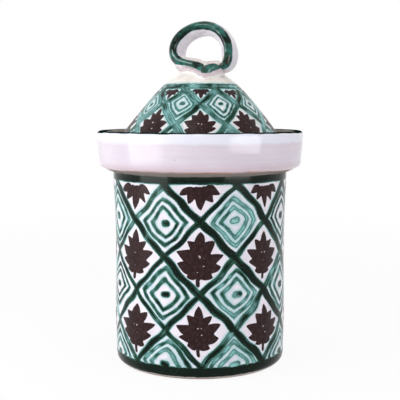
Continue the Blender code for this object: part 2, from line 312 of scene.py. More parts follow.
# Glazes and paints
WHITE = rgb(242, 236, 246)
LID_WHITE = rgb(243, 240, 242)
LILAC = rgb(227, 218, 230)
LILAC_DEEP = rgb(216, 204, 217)
BLUE_WHITE = rgb(236, 236, 249)
ROSE_AND_SHADE = rgb(206, 184, 194)
TAN = rgb(172, 128, 106)
UNDERSIDE_CLAY_AND_SHADE = rgb(136, 129, 125)
NECK_GREEN_AND_SHADE = rgb(26, 36, 30)
CAP_CREAM = rgb(250, 244, 236)
CAP_SHADE = rgb(240, 230, 220)
RING_SHADE = rgb(218, 204, 190)
CAP_GRIT = rgb(222, 202, 190)
INNER_WALL_SHADE = rgb(130, 118, 104)
HANDLE_WHITE = rgb(232, 228, 236)
CLAY = rgb(170, 146, 134)
THIN_GLAZE = rgb(196, 186, 182)
PINHOLE = rgb(88, 76, 78)
DARK_GREEN = rgb(10, 25, 18)
GREEN = rgb(36, 80, 62)
SEA_GREEN = rgb(64, 118, 108)
TEAL = rgb(96, 156, 156)
PALE_TEAL = rgb(146, 205, 205)
MIST = rgb(160, 208, 212)
BROWN = rgb(44, 26, 28)
WORN_BROWN = rgb(64, 44, 44)
HANDLE_GREEN = rgb(16, 66, 54)
HANDLE_TEAL = rgb(42, 110, 100)
HANDLE_DEEP = rgb(6, 28, 20)
ROLL_SHADE_LILAC = rgb(208, 190, 194)
ROLL_PALE = rgb(228, 216, 220)
CREASE_HIGHLIGHT_WHITE = rgb(250, 250, 252)
RUST = rgb(88, 62, 38)
FLOOR_COLOUR = rgb(254, 254, 254)


# Outlines


def outline_of(node):
    """A turned node's outline of (radius, height), anticlockwise with +Z up and the axis on the left."""
    mesh = frame["nodes"][node].data
    links = {}
    for edge in mesh.edges:
        ends = [mesh.vertices[i].co for i in edge.vertices]
        if any(abs(p.y) > SLICE or p.x < -SLICE for p in ends):
            continue
        here, there = (tuple(round(c, SLICE_DIGITS) for c in (p.x, p.z)) for p in ends)
        if here != there:
            links.setdefault(here, set()).add(there)
            links.setdefault(there, set()).add(here)
    loose = [p for p in links if len(links[p]) == 1]
    walked = [min(loose or links, key=lambda p: (p[1], p[0]))]
    while True:
        onward = [p for p in links[walked[-1]] if p not in walked]
        if not onward:
            break
        walked.append(onward[0])
    points = np.array(walked)
    r, z = points.T
    turn = np.sum(r * np.roll(z, -1) - np.roll(r, -1) * z)
    return (points if turn > 0 else points[::-1]), not loose


def bend_between(start, end, slope_in, slope_out, t):
    """A cubic curve from start to end with these slopes, at shares t of the way."""
    bend = 3 * (end - start) - 2 * slope_in - slope_out
    return start + slope_in * t + bend * t**2 + (2 * (start - end) + slope_in + slope_out) * t**3


def smooth_run(points, spacing):
    """A smooth curve through a run of points, with a point about every spacing."""
    steps = np.linalg.norm(np.diff(points, axis=0), axis=1)
    slopes = np.diff(points, axis=0) / steps[:, None]
    tangents = np.concatenate([slopes[:1], slopes])
    if len(points) > 2:
        before, after = steps[:-1, None], steps[1:, None]
        tangents[1:-1] = (slopes[:-1] * after + slopes[1:] * before) / (before + after)
        tangents[0] = 2 * slopes[0] - tangents[1]
        tangents[-1] = 2 * slopes[-1] - tangents[-2]
    marks = np.concatenate([[0.0], np.cumsum(steps)])
    places = np.linspace(0.0, marks[-1], max(round(marks[-1] / spacing), 1) + 1)
    i = np.clip(np.searchsorted(marks, places, side="right") - 1, 0, len(steps) - 1)
    t = ((places - marks[i]) / steps[i])[:, None]
    reach = steps[i][:, None]
    return bend_between(points[i], points[i + 1], reach * tangents[i], reach * tangents[i + 1], t)


def dense_outline(points, closed):
    """The outline with close points, crisp at its corners, and whether each lies on the run that is widest.

    That run is the outside, which is fine; the rest is coarse.
    """
    if closed:
        points = np.concatenate([points, points[:1]])
    ways = np.diff(points, axis=0)
    headings = np.arctan2(ways[:, 1], ways[:, 0])
    turns = np.degrees(np.abs((np.diff(headings) + math.pi) % math.tau - math.pi))
    corners = [0, *(np.flatnonzero(turns > CORNER_DEGREES) + 1), len(points) - 1]
    rows, shown = [], []
    for start, end in zip(corners, corners[1:]):
        run = points[start : end + 1]
        is_outside = run[:, 0].max() > points[:, 0].max() - SLICE
        rows.append(smooth_run(run, FINE if is_outside else COARSE)[:-1])
        shown += [is_outside] * len(rows[-1])
    if not closed:
        rows.append(points[-1:])
        shown.append(shown[-1])
    rows = np.clip(np.concatenate(rows), points.min(axis=0), points.max(axis=0))
    return rows, np.array(shown)


# Meshes


def mesh_of(name, points, faces):
    """A mesh of these points and faces."""
    mesh = bpy.data.meshes.new(name)
    mesh.from_pydata(points.tolist(), [], faces)
    return mesh


def placed(name, data):
    """A new object in the scene."""
    made = bpy.data.objects.new(name, data)
    bpy.context.scene.collection.objects.link(made)
    return made


def mesh_piece(name, points, faces, body, nodes, material):
    """A smooth mesh that rides on a body and stands for CAD nodes."""
    mesh = mesh_of(name, points, faces)
    mesh.materials.append(material)
    mesh.shade_smooth()
    mesh.set_sharp_from_angle(angle=math.radians(CORNER_DEGREES))
    piece = placed(name, mesh)
    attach(piece, body)
    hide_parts(*nodes)
    return piece


def store(piece, **fields):
    """Keeps a value at each point of a piece, for its material to read."""
    for name, values in fields.items():
        layer = piece.data.attributes.new(name, "FLOAT", "POINT")
        layer.data.foreach_set("value", np.ascontiguousarray(values, dtype=np.float32))


def edges_of(piece):
    """The pairs of points that a mesh's edges join."""
    pairs = np.zeros(2 * len(piece.data.edges), dtype=np.int32)
    piece.data.edges.foreach_get("vertices", pairs)
    return pairs.reshape(-1, 2)


def neighbours_mean(values, edges):
    """The mean of the values at each point's neighbours."""
    total = np.bincount(edges[:, 0], values[edges[:, 1]], len(values))
    total += np.bincount(edges[:, 1], values[edges[:, 0]], len(values))
    return total / np.bincount(edges.ravel(), minlength=len(values))


def even_out(values, edges, rounds):
    """Averages each point's value with its neighbours'."""
    for _ in range(rounds):
        values = (values + neighbours_mean(values, edges)) / 2
    return values


def spin(outline, closed, shown):
    """Points and faces of an outline turned round the axis, and which points show. The axis comes last."""
    on_axis = outline[:, 0] < SLICE
    rows = outline[~on_axis]
    turns = np.arange(TURN_STEPS) * math.tau / TURN_STEPS
    r, z = rows[:, :1], rows[:, 1:]
    grid = np.stack([r * np.cos(turns), r * np.sin(turns), z + 0 * turns], axis=2)
    points = grid.reshape(-1, 3)
    number = np.arange(len(points)).reshape(len(rows), TURN_STEPS)
    after = np.roll(number, -1, axis=1)
    if closed:
        pairs = zip(range(len(rows)), [*range(1, len(rows)), 0])
    else:
        pairs = zip(range(len(rows) - 1), range(1, len(rows)))
    quads = [np.stack([number[i], after[i], after[j], number[j]], axis=1) for i, j in pairs]
    faces = np.concatenate(quads).tolist()
    if not closed:
        bottom, top = len(points), len(points) + 1
        points = np.concatenate([points, [[0, 0, outline[0, 1]], [0, 0, outline[-1, 1]]]])
        faces += [(bottom, int(b), int(a)) for a, b in zip(number[0], after[0])]
        faces += [(top, int(a), int(b)) for a, b in zip(number[-1], after[-1])]
    on_points = np.repeat(shown[~on_axis], TURN_STEPS)
    return points, faces, on_points if closed else np.concatenate([on_points, shown[[0, -1]]])


def round_the_axis(points):
    """Angle from the front, towards +X, and radius."""
    return np.arctan2(points[:, 0], -points[:, 1]), np.hypot(points[:, 0], points[:, 1])


def wave(angle, turns, rng):
    """A slow wave of height 1 that closes on itself round the jar."""
    total = np.zeros_like(angle)
    for turn in turns:
        total += np.sin(turn * angle + rng.uniform(0, math.tau)) / len(turns)
    return total


def lift(points, amount):
    """Moves points outwards from the axis."""
    _, radius = round_the_axis(points)
    share = np.where(radius > SLICE, amount / np.maximum(radius, SLICE), 0.0)
    return points * np.stack([1 + share, 1 + share, np.ones_like(share)], axis=1)


# Brush strokes: how deep points lie inside each one, in millimetres, and negative outside


def ridgeless(away):
    """The distance from a stroke's middle line, made smooth where it passes through zero."""
    return np.hypot(away, 0.5) - 0.15


def from_segment(x, y, start, end):
    """How far along a segment points lie, from 0 to 1, and how far away from it."""
    dx, dy = end[0] - start[0], end[1] - start[1]
    share = np.clip(((x - start[0]) * dx + (y - start[1]) * dy) / (dx * dx + dy * dy), 0, 1)
    return share, np.hypot(x - start[0] - share * dx, y - start[1] - share * dy)


def stroke(x, y, start, end, first, last):
    """A straight stroke whose half width goes from first to last."""
    share, away = from_segment(x, y, start, end)
    return first + (last - first) * share - away


def leaf(x, y, start, end, half_width):
    """A leaf from its stalk to its tip, fullest before the middle."""
    share, away = from_segment(x, y, start, end)
    return half_width * np.sin(math.pi * share**0.8) ** 0.8 - away


def leaves(x, y, first, *pairs):
    """One upright leaf, and pairs of leaves to both sides: start, end and half width of each."""
    field = leaf(x, y, *first)
    for (start_x, start_y), (end_x, end_y), half_width in pairs:
        for side in (-1, 1):
            one = leaf(x, y, (start_x * side, start_y), (end_x * side, end_y), half_width)
            field = np.maximum(field, one)
    return field


def sprig(x, y):
    """An upright sprig: a stem, a leaf at the top and four pairs of leaves."""
    pairs = [
        ((0, 2.5), (10.4, 11.6), 3.8),
        ((0, -3.0), (17.4, 3.6), 4.3),
        ((0, -7.5), (15.4, -5.2), 4.0),
        ((0, -11.0), (8.8, -13.0), 3.2),
    ]
    stem = stroke(x, y, (0, -18.5), (0, 8.0), 1.5, 0.8)
    return np.maximum(stem, leaves(x, y, ((0, 4.0), (0, 18.5), 4.0), *pairs))


def lozenge_ring(x, y, reach, half_width):
    """A lozenge drawn with one stroke, its corners a little round."""
    power = 1.12
    size = (np.abs(x) ** power + np.abs(y) ** power) ** (1 / power)
    return half_width - ridgeless((size - reach) / 1.35)


def nested_lozenges(x, y):
    """A lozenge inside a lozenge, with a dab in the middle."""
    field = np.maximum(lozenge_ring(x, y, 18.0, 1.5), lozenge_ring(x, y, 11.3, 1.4))
    return np.maximum(field, stroke(x, y, (-1.6, 0), (1.6, 0), 2.6, 2.8))


def hanging_dabs(x, y):
    """Five dabs that fan down from a band above."""
    pairs = [((2.0, -1.5), (9.4, -13.0), 3.4), ((5.0, -1.5), (15.6, -7.0), 3.0)]
    return leaves(x, y, ((0, -1.5), (0, -18.5), 3.8), *pairs)


class Brushwork:
    """Where the trellis with its bands, the green motifs and the brown ones lie, and the green's load."""

    def __init__(self, across, up, scale, around, seed):
        self.across, self.up, self.scale, self.around = across, up, scale, around
        self.rng = np.random.default_rng(seed)
        self.green, self.motif, self.brown = (np.full(len(across), NO_PAINT) for _ in range(3))
        self.load, self.motif_load = (np.full(len(across), 0.5) for _ in range(2))
        self.warp()

    def warp(self):
        """The hand's slow drift off the lattice."""
        turn = math.tau * self.across / self.around
        drift = wave(turn + 0.9 * self.up, (5, 9, 14), self.rng)
        rise = wave(turn - 1.3 * self.up, (4, 7, 12), self.rng)
        self.across = self.across + 0.030 * drift
        self.up = self.up + 0.028 * rise

    def lay(self, field, load):
        """Adds a green stroke; where strokes cross, the deeper one shows."""
        over = field > self.green
        self.load = np.where(over, load, self.load)
        self.green = np.maximum(self.green, field)

    def trellis(self, half_widths, loads):
        """Two families of slanting strokes, each stroke with its own width and load of paint."""
        for slant, half_width in zip((1, -1), half_widths):
            place = self.across + slant * self.up
            which = np.round(place).astype(int) % self.around
            widths = self.rng.uniform(0.86, 1.16, self.around)
            amounts = self.rng.uniform(*loads, self.around)
            along = self.across - slant * self.up
            waver = 1 + 0.10 * wave(math.tau * along / self.around + which, (7, 13, 22), self.rng)
            amount = amounts[which] + 0.14 * wave(math.tau * along / self.around + which, (5, 11), self.rng)
            away = ridgeless((place - np.round(place)) * self.scale / math.sqrt(2))
            self.lay(half_width * widths[which] * waver - away, amount)

    def band(self, field, load):
        """A band right round, wavering at its edge."""
        turn = math.tau * self.across / self.around
        field = field + 0.32 * wave(turn, (6, 11, 19, 31), self.rng)
        self.lay(field, load + 0.1 * wave(turn, (5, 9), self.rng))

    def motifs(self, row, shape, loads=None):
        """One motif in each lozenge of a row, turned, moved and sized a little. Without loads it is brown."""
        up = row / 2
        aside = 0.5 if row % 2 == 0 else 0.0
        for i in range(self.around):
            tilt = math.radians(self.rng.uniform(-6, 6))
            size = self.rng.uniform(0.94, 1.05)
            shift = self.rng.uniform(-0.9, 0.9, 2)
            load = self.rng.uniform(*(loads or (1, 1)))
            away = (self.across - i - aside + self.around / 2) % self.around - self.around / 2
            near = np.hypot(away, self.up - up) < 0.5
            ratio = size * self.scale[near] / LOZENGE
            x = away[near] * LOZENGE / size - shift[0]
            y = (self.up[near] - up) * LOZENGE / size - shift[1]
            x, y = x * math.cos(tilt) + y * math.sin(tilt), y * math.cos(tilt) - x * math.sin(tilt)
            waver = 0.22 * np.sin(0.55 * x + 0.8 * i) * np.sin(0.48 * y + 1.7 * i)
            field = (shape(x, y) + waver) * ratio
            if loads is None:
                self.brown[near] = np.maximum(self.brown[near], field)
            else:
                self.motif[near] = np.maximum(self.motif[near], field)
                self.motif_load[near] = load + 0.16 * np.sin(0.3 * x + 0.5 * y + i)

    def rows(self, loads):
        """Nested lozenges and sprigs in turn, and dabs under the band at the top."""
        for row, amounts in enumerate(loads):
            self.motifs(2 * row, nested_lozenges, amounts)
            self.motifs(2 * row + 1, sprig if row + 1 < len(loads) else hanging_dabs)

    def clear(self, where):
        """Leaves these points unpainted."""
        for field in (self.green, self.motif, self.brown):
            field[where] = NO_PAINT

    def relief(self):
        """How far the paint stands up, from 0 to 1."""
        green = np.clip(np.maximum(self.green, self.motif) / 0.9 + 0.3, 0, 1)
        brown = np.clip(self.brown / 0.9 + 0.3, 0, 1)
        return np.maximum(0.8 * green, brown)

    def keep(self, piece):
        """Stores the strokes on the piece that they are painted on."""
        edges = edges_of(piece)
        load, motif_load = (even_out(amount, edges, LOAD_ROUNDS) for amount in (self.load, self.motif_load))
        green, motif, brown = (np.maximum(field, -DEEP) for field in (self.green, self.motif, self.brown))
        store(piece, green=green, motif=motif, brown=brown, load=load, motif_load=motif_load)


# Materials


def feed(tree, node, inputs):
    """Links a node's inputs to outputs of other nodes, or sets them to plain values."""
    for name, value in inputs.items():
        socket, value = node.inputs[name], getattr(value, "socket", value)
        if isinstance(value, bpy.types.NodeSocket):
            tree.links.new(value, socket)
        elif isinstance(value, tuple) and socket.type == "RGBA":
            socket.default_value = (*value, 1.0)
        else:
            socket.default_value = value
    return node


def add_node(tree, kind, inputs, **settings):
    """A shader node with its settings and its inputs."""
    made = tree.nodes.new(kind)
    for name, value in settings.items():
        setattr(made, name, value)
    return feed(tree, made, inputs)


class Level:
    """A value in a glaze's shader that is added and multiplied like a number."""

    def __init__(self, glaze, socket):
        self.glaze, self.socket = glaze, socket

    def __add__(self, other):
        return self.glaze.combine("ADD", self, other)

    def __sub__(self, other):
        return self.glaze.combine("SUBTRACT", self, other)

    def __rsub__(self, other):
        return self.glaze.combine("SUBTRACT", other, self)

    def __mul__(self, other):
        return self.glaze.combine("MULTIPLY", self, other)

    __radd__ = __add__
    __rmul__ = __mul__


class Glaze:
    """A glazed surface's shader, built node by node."""

    def __init__(self, name):
        self.material = bpy.data.materials.new(name)
        self.material.use_nodes = True
        self.tree = self.material.node_tree
        self.place = add_node(self.tree, "ShaderNodeTexCoord", {}).outputs["Object"]

    def level(self, kind, inputs, output=0, **settings):
        """One output of a new node."""
        return Level(self, add_node(self.tree, kind, inputs, **settings).outputs[output])

    def combine(self, operation, first, second=0.0, clamp=False):
        """A Math node: ADD, MULTIPLY and so on."""
        inputs = {0: first, 1: second}
        return self.level("ShaderNodeMath", inputs, operation=operation, use_clamp=clamp)

    def most(self, first, second):
        """The greater of two values."""
        return self.combine("MAXIMUM", first, second)

    def field(self, name):
        """A value kept at the points of the mesh."""
        return self.level("ShaderNodeAttribute", {}, "Fac", attribute_name=name)

    def height(self):
        """Height above the ground at rest."""
        return self.level("ShaderNodeSeparateXYZ", {0: self.place}, "Z")

    def step(self, value, low, high):
        """0 below low, 1 above high, and smooth between them."""
        inputs = {"Value": value, "From Min": low, "From Max": high}
        return self.level("ShaderNodeMapRange", inputs, interpolation_type="SMOOTHSTEP")

    def below(self, value, low, high):
        """1 below low, 0 above high, and smooth between them."""
        return 1.0 - self.step(value, low, high)

    def mix(self, share, first, second):
        """A colour between two colours."""
        return self.level("ShaderNodeMix", {0: share, 6: first, 7: second}, 2, data_type="RGBA")

    def noise(self, size, detail=2.0, stretch=(1.0, 1.0, 1.0)):
        """Noise from about -0.5 to 0.5, whose grain is this many metres across."""
        mapped = add_node(self.tree, "ShaderNodeMapping", {"Vector": self.place, "Scale": stretch}).outputs[0]
        inputs = {"Vector": mapped, "Scale": 1 / size, "Detail": detail}
        return self.level("ShaderNodeTexNoise", inputs, "Fac") - 0.5

    def mottle(self, size, low, high, detail=2.0, stretch=(1.0, 1.0, 1.0)):
        """Soft patches: 0 where such a noise is below low, 1 where it is above high."""
        return self.step(self.noise(size, detail, stretch), low, high)

    def streaks(self, depth, length):
        """Noise from about -0.5 to 0.5 drawn out along a stroke, whose depth in millimetres is given."""
        inputs = {"Vector": self.place, "W": depth * (0.9 * length), "Scale": 1 / length, "Detail": 1.0}
        return self.level("ShaderNodeTexNoise", inputs, "Fac", noise_dimensions="4D") - 0.5

    def specks(self, size, share):
        """1 inside sparse round specks."""
        cells = add_node(self.tree, "ShaderNodeTexVoronoi", {"Vector": self.place, "Scale": 1 / size})
        chance = self.level("ShaderNodeSeparateColor", {0: cells.outputs["Color"]})
        chosen = self.combine("LESS_THAN", chance, share)
        return chosen * self.below(cells.outputs["Distance"], SPECK_CORE_SHARE, SPECK_EDGE_SHARE)

    def finish(self, colour, roughness, relief, depth, specular):
        """Sets the shader's colour, gloss and fine relief."""
        bump = add_node(self.tree, "ShaderNodeBump", {"Distance": depth, "Height": relief})
        inputs = {"Base Color": colour, "Roughness": roughness, "IOR": GLAZE_IOR}
        inputs |= {"Specular IOR Level": specular, "Normal": bump.outputs[0]}
        feed(self.tree, self.tree.nodes["Principled BSDF"], inputs)
        return self.material


def cap_cream(glaze):
    """The lid's cream top, faintly sandy."""
    cream = glaze.mix(glaze.mottle(9 * MM, -0.1, 0.2, 3.0), CAP_CREAM, CAP_SHADE)
    cream = glaze.mix(0.45 * glaze.mottle(1.1 * MM, -0.08, 0.14, 4.0), cream, LID_WHITE)
    return glaze.mix(0.3 * glaze.mottle(0.9 * MM, 0.05, 0.2, 3.0, (1.1, 0.9, 1.0)), cream, CAP_GRIT)


def green_paint(glaze, field, load, grain, flow):
    """The green paint's colour: a teal fringe, then green, then nearly black where it lies thick."""
    streak = glaze.streaks(field, STREAK_LENGTH)
    depth = field + 1.3 * grain
    thick = glaze.mix(glaze.step(depth, 0.0, 0.8), TEAL, GREEN)
    pooled = depth + 4.5 * streak + 2.6 * (load - 0.75)
    thick = glaze.mix(glaze.step(pooled, 0.4, 2.2), thick, DARK_GREEN)
    washed = glaze.mix(glaze.step(depth, 0.15, 1.3), SEA_GREEN, PALE_TEAL)
    washed = glaze.mix(glaze.step(streak, 0.02, 0.2), washed, SEA_GREEN)
    amount = load + 0.45 * flow + 0.55 * streak
    paint = glaze.mix(glaze.step(amount, 0.25, 0.7), washed, thick)
    return glaze.mix(0.28 * glaze.step(grain, 0.10, 0.24), paint, SEA_GREEN)


def painted(name, ground, is_pot=False, has_cap=False):
    """White glaze with green and brown brushwork. The pot's clay is bare underneath."""
    glaze = Glaze(name)
    trellis, motif, brown = (glaze.field(kept) for kept in ("green", "motif", "brown"))
    load, motif_load = (glaze.field(kept) for kept in ("load", "motif_load"))
    green = glaze.most(trellis, motif)
    load = motif_load + glaze.step(trellis - motif, -0.4, 0.4) * (load - motif_load)
    grain = glaze.noise(1.1 * MM, 3.0)
    flow = glaze.noise(6.0 * MM)
    colour = glaze.mix(glaze.mottle(16 * MM, -0.15, 0.2), ground, tuple(SHADED_SHARE * c for c in ground))
    if has_cap:
        colour = glaze.mix(glaze.field("cap"), colour, cap_cream(glaze))
    wash = glaze.below(load + flow, 0.45, 0.9)
    halo = glaze.step(green + 2.6 * flow, -1.7 * (wash + 0.6), 0.2)
    colour = glaze.mix(halo * (0.35 * wash + 0.45), colour, MIST)
    is_green = glaze.step(green + 0.7 * grain, -0.2, 0.25)
    colour = glaze.mix(is_green, colour, green_paint(glaze, green, load, grain, flow))
    is_brown = glaze.step(brown + 0.5 * grain, -0.14, 0.14)
    colour = glaze.mix(is_brown, colour, glaze.mix(glaze.mottle(2.5 * MM, -0.1, 0.3), BROWN, WORN_BROWN))
    pits = glaze.specks(7 * MM, 0.10)
    colour = glaze.mix(0.7 * pits, colour, PINHOLE)
    roughness = PAINTED_ROUGHNESS * (is_brown + 1.0)
    relief = glaze.most(is_green, is_brown) + 0.6 * grain - pits
    if is_pot:
        edge = glaze.height() + LINE_DRIFT * flow
        thin = glaze.below(edge, 0.85 * PAINT_END, 1.15 * PAINT_END)
        colour = glaze.mix(thin, colour, THIN_GLAZE)
        bare = glaze.most(glaze.below(edge, 0.75 * GLAZE_LINE, 1.25 * GLAZE_LINE), glaze.field("under"))
        colour = glaze.mix(bare, colour, CLAY)
        roughness = roughness + 0.55 * bare
    return glaze.finish(colour, roughness, relief, PAINTED_GRAIN, PAINTED_SHINE)


def collar_glaze(low, high):
    """Lilac white glaze: thicker and bluer near the rim, thin and tan along the lower corner. Rose above that
    corner, grey under it and near black at the neck are each partly painted shade, and the inner wall's grey
    brown is painted shade.
    """
    glaze = Glaze("lilac white glaze")
    height = glaze.height()
    grain = glaze.noise(0.8 * MM, 3.0)
    flow = glaze.noise(11 * MM, 3.0)
    rings = glaze.noise(1.5 * MM, 2.0, (0.03, 0.03, 1.0))
    tone = 0.5 * glaze.mottle(22 * MM, -0.16, 0.2, 2.0, (0.4, 0.4, 1.0))
    tone = tone + 0.35 * glaze.step(rings, -0.14, 0.18)
    colour = glaze.mix(glaze.combine("ADD", tone, 0.9 * grain, True), LILAC, LILAC_DEEP)
    edge = height + EDGE_DRIFT * (flow + 0.3 * grain)
    colour = glaze.mix(glaze.step(edge, high - BLUE_START, high - BLUE_FULL), colour, BLUE_WHITE)
    # Rose towards the lower corner: partly the glaze's pink tint, partly painted shade
    colour = glaze.mix(0.8 * glaze.below(edge, low + ROSE_FULL, low + ROSE_END), colour, ROSE_AND_SHADE)
    line = height + LINE_DRIFT * flow
    corner = low + UNDERSIDE
    # Under the lower corner: grey, partly bare clay and partly painted shade
    under = glaze.below(line, corner - 0.7 * MM, corner + 0.5 * MM)
    colour = glaze.mix(under, colour, UNDERSIDE_CLAY_AND_SHADE)
    # The neck: near black green like the body's top band, partly painted shade under the collar
    neck = glaze.below(line, low + NECK_HEIGHT - 0.2 * MM, low + NECK_HEIGHT + 0.4 * MM)
    colour = glaze.mix(neck, colour, NECK_GREEN_AND_SHADE)
    worn = glaze.below(glaze.combine("ABSOLUTE", line - corner), 0.2 * MM, 1.0 * MM)
    broken = glaze.combine("ADD", 0.35, glaze.mottle(12 * MM, -0.1, 0.14, 4.0), True)
    colour = glaze.mix(0.75 * (worn * broken), colour, TAN)
    green, load, inner = (glaze.field(kept) for kept in ("green", "load", "inner"))
    # Painted shade: the collar's inner wall, shaded by the lid, is coloured grey brown
    colour = glaze.mix(inner, colour, INNER_WALL_SHADE)
    is_green = glaze.step(green + 0.6 * grain, -0.2, 0.2)
    colour = glaze.mix(is_green, colour, green_paint(glaze, green, load, grain, flow))
    pits = glaze.specks(9 * MM, 0.09)
    colour = glaze.mix(0.8 * pits, colour, PINHOLE)
    shine = COLLAR_SHINE * (1.0 - glaze.most(is_green, under)) + PAINTED_SHINE * neck
    return glaze.finish(colour, COLLAR_ROUGHNESS, 0.5 * rings + 0.2 * grain - pits, COLLAR_GRAIN, shine)


def ring_glaze():
    """The locating ring's cream glaze, with a few pinholes."""
    glaze = Glaze("ring glaze")
    pits = glaze.specks(6 * MM, 0.12)
    colour = glaze.mix(glaze.mottle(9 * MM, -0.15, 0.2, 3.0), CAP_CREAM, RING_SHADE)
    colour = glaze.mix(0.6 * pits, colour, PINHOLE)
    return glaze.finish(colour, RING_ROUGHNESS, glaze.noise(1.3 * MM, 3.0) - pits, RING_GRAIN, RING_SHINE)


def handle_glaze():
    """White glaze with a wet green edge that breaks to brown, and cream where it meets the cap."""
    glaze = Glaze("handle glaze")
    green, load, cap, inner, over = (glaze.field(kept) for kept in ("green", "load", "cap", "inner", "over"))
    grain = glaze.noise(1.2 * MM, 3.0)
    flow = glaze.noise(5.0 * MM)
    white = glaze.mix(glaze.mottle(8 * MM, -0.06, 0.24, 3.0), HANDLE_WHITE, LILAC_DEEP)
    # Painted shade: the roll low over the lid is a darker pinkish lilac
    roll = glaze.mix(glaze.mottle(4.5 * MM, -0.12, 0.18, 3.0), ROLL_SHADE_LILAC, ROLL_PALE)
    white = glaze.mix(0.9 * glaze.below(over + 5.0 * flow, *ROLL_EDGE), white, roll)
    ledge = glaze.step(inner, 0.3, 0.8) * glaze.below(over, *LEDGE_EDGE)
    white = glaze.mix(0.85 * ledge, white, CAP_SHADE)
    # A bright white line along the crease: pooled glaze with a painted highlight
    white = glaze.mix(glaze.below(over, *CREASE_EDGE), white, CREASE_HIGHLIGHT_WHITE)
    white = glaze.mix(cap, white, cap_cream(glaze))
    edge = green + 1.6 * flow
    white = glaze.mix(0.35 * glaze.step(edge, -0.9, 0.1), white, MIST)
    wet = glaze.mix(glaze.mottle(7 * MM, -0.14, 0.12), HANDLE_GREEN, HANDLE_TEAL)
    dark = glaze.step(1.9 * flow + load, 0.32, 0.9)
    wet = glaze.mix(dark, wet, HANDLE_DEEP)
    run_in = glaze.step(inner + 1.4 * flow, 0.25, 0.95)
    run_out = glaze.step(0.8 * flow - inner, 0.72, 1.0)
    wet = glaze.mix(0.75 * glaze.most(run_in, run_out), wet, HANDLE_DEEP)
    wet = glaze.mix(0.45 * glaze.mottle(9 * MM, 0.04, 0.2, 3.0, (1.0, 1.2, 0.8)), wet, TEAL)
    wet = glaze.mix(0.5 * glaze.mottle(4.5 * MM, 0.10, 0.22, 3.0), wet, RUST)
    is_green = glaze.step(edge + 0.5 * grain, -0.15, 0.25)
    shine = HANDLE_SHINE - HANDLE_DULLED * (is_green * dark)
    return glaze.finish(glaze.mix(is_green, white, wet), HANDLE_ROUGHNESS, 0.6 * grain, HANDLE_GRAIN, shine)


# The pot


def pot_body():
    """The turned wall with its brushwork, foot and inside."""
    outline, closed = outline_of("pot_body")
    _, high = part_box("pot_body")
    rows, shown = dense_outline(outline, closed)
    rows[rows[:, 1] > high.z - SLICE, 1] += SEAM
    points, faces, outside = spin(rows, closed, shown)
    height = points[:, 2].copy()
    angle, _ = round_the_axis(points)
    scale = np.full(len(points), high.x / MM * math.tau / BODY_LOZENGES)
    across = angle / math.tau * BODY_LOZENGES
    up = (height - BAND_BOTTOM) / (BAND_TOP - BAND_BOTTOM) * BODY_ROWS / 2
    paint = Brushwork(across, up, scale, BODY_LOZENGES, SEED)
    paint.trellis((2.75, 2.35), (0.5, 1.05))
    paint.rows([(0.4, 0.8), (0.3, 1.0), (0.3, 1.0)])
    paint.band((height - BAND_TOP) / MM, 1.0)
    paint.band((BAND_BOTTOM - height) / MM, 1.0)
    paint.brown[paint.green > BROWN_STOP] = NO_PAINT
    paint.clear(~outside)
    rng = np.random.default_rng(SEED)
    hand = -HAND_RELIEF * (0.5 + 0.5 * wave(angle + 9 * height, (2, 3, 5), rng))
    moved = np.where(outside & (height > FOOT_EVEN), hand + STROKE_RELIEF * paint.relief(), 0)
    points = lift(points, moved)
    ground = painted("painted body", WHITE, is_pot=True)
    piece = mesh_piece("painted_pot", points, faces, "pot", ["pot_body"], ground)
    paint.keep(piece)
    _, radius = round_the_axis(points)
    store(piece, under=(height < FOOT_DEPTH) & (radius < FOOT_INSIDE))


def lift_underside(outline, low):
    """The collar's outline with its underside and lower corner raised over a short neck."""
    is_neck = outline[:, 1] < low + SLICE
    outline = np.roll(outline, -np.argmax(outline[:, 0] * is_neck), axis=0)
    height = outline[:, 1]
    share = np.clip((low + LIFT_END - height) / (LIFT_END - LIFT_START), 0, 1)
    share[0] = 0
    share[np.argmax(height) :] = 0
    lifted = outline + np.outer(share, [0, UNDERSIDE_LIFT])
    return np.insert(lifted, 1, outline[0] + [0, NECK_HEIGHT], axis=0)


def collar():
    """The gallery collar, its rim drawn with one dark line."""
    outline, closed = outline_of("gallery_collar")
    low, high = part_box("gallery_collar")
    rows, shown = dense_outline(lift_underside(outline, low.z), closed)
    rows[rows[:, 1] < low.z + SLICE, 1] -= SEAM
    points, faces, _ = spin(rows, closed, shown)
    angle, radius = round_the_axis(points)
    height = points[:, 2]
    rng = np.random.default_rng(SEED)
    crest = high.x - RIM_RADIUS
    tilt = math.radians(RIM_PLACE)
    aside = radius - crest - RIM_RADIUS * math.sin(tilt)
    away = np.hypot(aside, height - high.z + RIM_RADIUS * (1 - math.cos(tilt))) / MM
    line = RIM_LINE + RIM_FULLER * np.sin(angle) ** 8 + RIM_WAVER * wave(angle, (5, 13, 29), rng) - away
    load = RIM_LOAD + 0.2 * wave(angle, (4, 9), rng)
    rings = np.sin(height / THROWING_STEP) * np.sin(height / THROWING_BEAT + 2 * angle)
    hand = 0.5 + 0.5 * wave(angle + 12 * height, (2, 3, 7), rng)
    outside = np.clip((radius - crest) / THROWING_FADE, 0, 1)
    inward = THROWING_RELIEF * (0.5 + 0.5 * rings) + 0.6 * HAND_RELIEF * hand
    points = lift(points, -outside * inward)
    material = collar_glaze(low.z, high.z)
    piece = mesh_piece("rim_collar", points, faces, "pot", ["gallery_collar"], material)
    is_under = (height < low.z + UNDERSIDE_RISE) & (radius > radius.min() + SLICE)
    # The inner wall inside the rim, which the glaze colours with painted shade
    inner = np.where(is_under, 0, np.clip((crest - radius) / MM, 0, 1))
    store(piece, green=RIM_SHARPNESS * line, load=load, inner=inner)


# The lid


